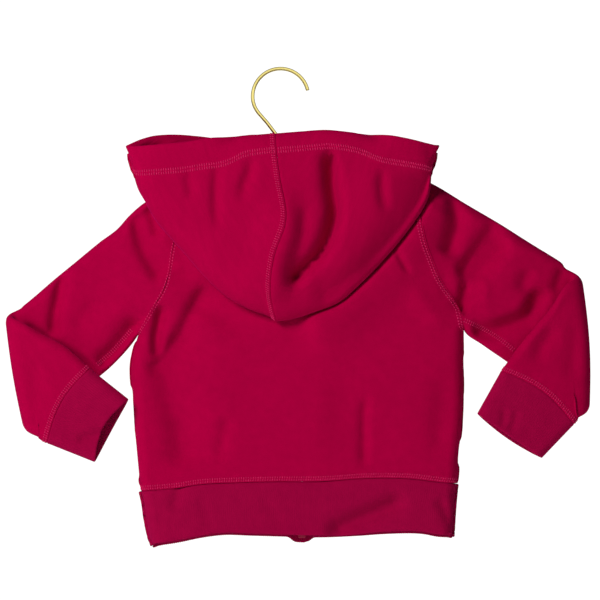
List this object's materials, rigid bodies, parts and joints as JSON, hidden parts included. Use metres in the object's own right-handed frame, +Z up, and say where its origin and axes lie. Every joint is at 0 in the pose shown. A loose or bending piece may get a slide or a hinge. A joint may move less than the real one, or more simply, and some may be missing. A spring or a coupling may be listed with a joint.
{
  "type": "kids hoodie on a wire hanger",
  "caption": "Child's zip-up raglan hoodie hanging from a wire hanger hook, hood down the back, ribbed waistband and cuffs, sleeves folded back at the elbows.",
  "frame": {"origin": "underside of the top of the hanger's hook, where it rests on a rail", "axes": "+Z up; the garment's back and hanging hood face -Y, the zip faces +Y, the wearer's left is -X"},
  "size_m": [0.5822, 0.0571, 0.479],
  "materials": {
    "body_cloth": "smooth-faced cotton fleece, crimson",
    "rib_cloth": "fine rib knit, crimson",
    "zip_tape": "woven tape, crimson",
    "zip_metal": "satin",
    "brass_wire": "polished"
  },
  "bodies": {
    "garment": {"back_panel": "body_cloth", "front_panel_left": "body_cloth", "front_panel_right": "body_cloth", "sleeve_left": "body_cloth", "sleeve_right": "body_cloth", "hood_left": "body_cloth", "hood_right": "body_cloth", "cuff_left": "rib_cloth", "cuff_right": "rib_cloth", "waistband": "rib_cloth", "zip_tape_left": "zip_tape", "zip_tape_right": "zip_tape", "zip_slider": "zip_metal", "zip_retainer": "zip_metal", "hanger_hook": "brass_wire", "hanger_arms": "brass_wire"},
    "pull_tab": {"zip_pull": "zip_metal"}
  },
  "joints": [
    {"name": "pull_tab_swing", "type": "hinge", "parent": "garment", "child": "pull_tab", "pos_m": [0.01878, 0.01475, -0.154], "axis": [1, 0, 0], "range_deg": [0, 150]}
  ]
}
